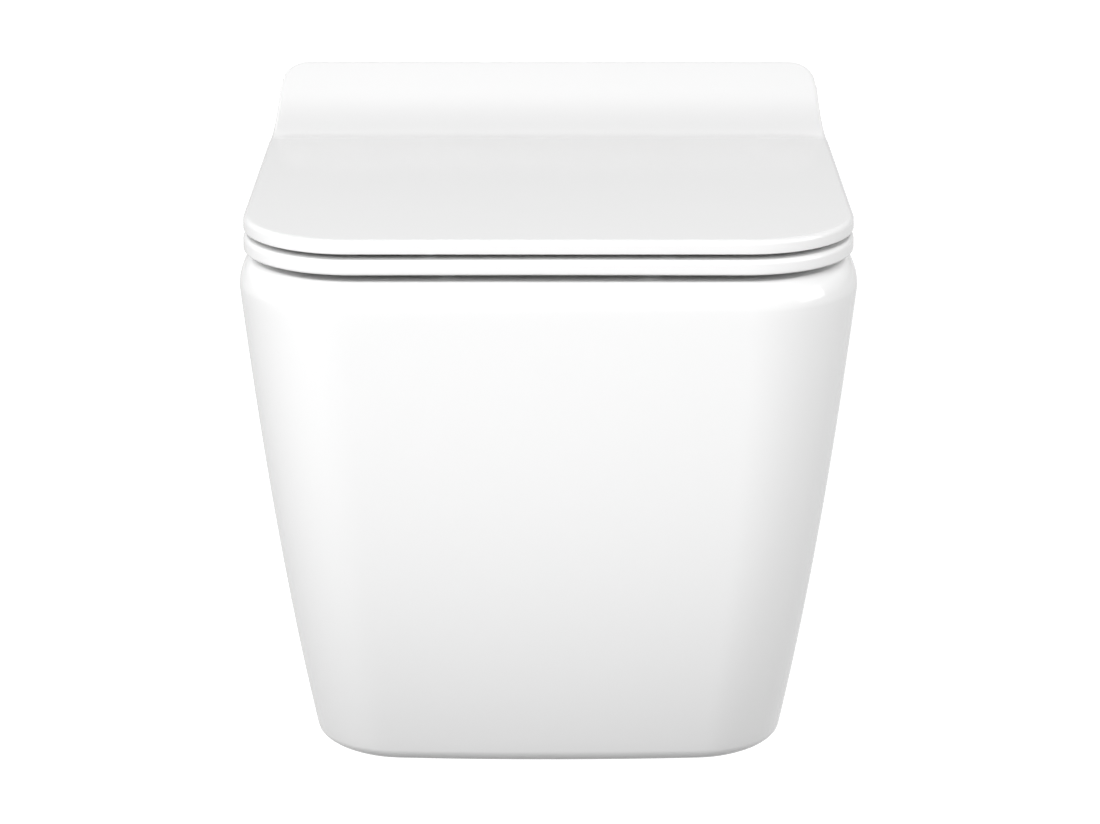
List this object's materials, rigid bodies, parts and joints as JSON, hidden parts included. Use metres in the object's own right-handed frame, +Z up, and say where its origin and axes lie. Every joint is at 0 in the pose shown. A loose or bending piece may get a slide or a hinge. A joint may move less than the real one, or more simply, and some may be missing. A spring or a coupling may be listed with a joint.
{
  "type": "wall hung toilet",
  "caption": "Boxy wall hung toilet pan with rounded front corners, slim seat and lid on quick-release soft-close hinges, and a concealed wall fixing kit.",
  "frame": {"origin": "midpoint between the two wall rods, on the wall plane", "axes": "+X to the right seen from the front, +Y into the wall, +Z up"},
  "size_m": [0.37, 0.5, 0.3678],
  "materials": {
    "glazed_ceramic": "gloss",
    "white_thermoset": "gloss",
    "white_plastic": "gloss",
    "grey_plastic": "satin",
    "dark_plastic": "satin",
    "polished_steel": "polished",
    "stainless_steel": "satin",
    "grey_rubber": "matte",
    "dark_rubber": "matte",
    "pale_rubber": "matte"
  },
  "bodies": {
    "pan": {"ceramic_pan": "glazed_ceramic", "flow_splitter": "grey_plastic", "hinge_base_left": "polished_steel", "hinge_base_right": "polished_steel", "base_gaskets": "grey_rubber", "base_screws": "stainless_steel", "expansion_sleeves": "dark_rubber", "clamp_nuts": "stainless_steel", "fixing_block_left": "dark_plastic", "fixing_block_right": "dark_plastic", "rod_sleeves": "grey_plastic", "clamp_screws": "stainless_steel", "side_caps": "white_plastic"},
    "hinge_unit": {"hinge_body_left": "polished_steel", "hinge_body_right": "polished_steel", "seat_damper": "dark_plastic", "lid_damper": "dark_plastic", "seat_pivot_pin": "stainless_steel", "lid_pivot_pin": "stainless_steel", "latch_clip_left": "stainless_steel", "latch_clip_right": "stainless_steel"},
    "button_left": {"release_button_left": "grey_plastic"},
    "button_right": {"release_button_right": "grey_plastic"},
    "seat": {"seat_ring": "white_thermoset", "seat_buffers": "pale_rubber", "seat_damper_shaft": "stainless_steel", "seat_bush": "grey_plastic"},
    "lid": {"lid": "white_thermoset", "lid_buffers": "pale_rubber", "lid_damper_shaft": "stainless_steel", "lid_bush": "grey_plastic"}
  },
  "joints": [
    {"name": "lift_off", "type": "slide", "parent": "pan", "child": "hinge_unit", "axis": [0, 0, 1], "range_m": [0, 0.012]},
    {"name": "seat_hinge", "type": "hinge", "parent": "hinge_unit", "child": "seat", "pos_m": [0, -0.076, 0.108], "axis": [-1, 0, 0], "range_deg": [0, 95]},
    {"name": "lid_hinge", "type": "hinge", "parent": "seat", "child": "lid", "pos_m": [0, -0.076, 0.108], "axis": [1, 0, 0], "range_deg": [-95, 0]},
    {"name": "release_button_left", "type": "slide", "parent": "hinge_unit", "child": "button_left", "axis": [0, 1, 0], "range_m": [0, 0.002], "stiffness_N_per_m": 600, "deforming": ["latch_clip_left"]},
    {"name": "release_button_right", "type": "slide", "parent": "hinge_unit", "child": "button_right", "axis": [0, 1, 0], "range_m": [0, 0.002], "stiffness_N_per_m": 600, "deforming": ["latch_clip_right"]}
  ]
}
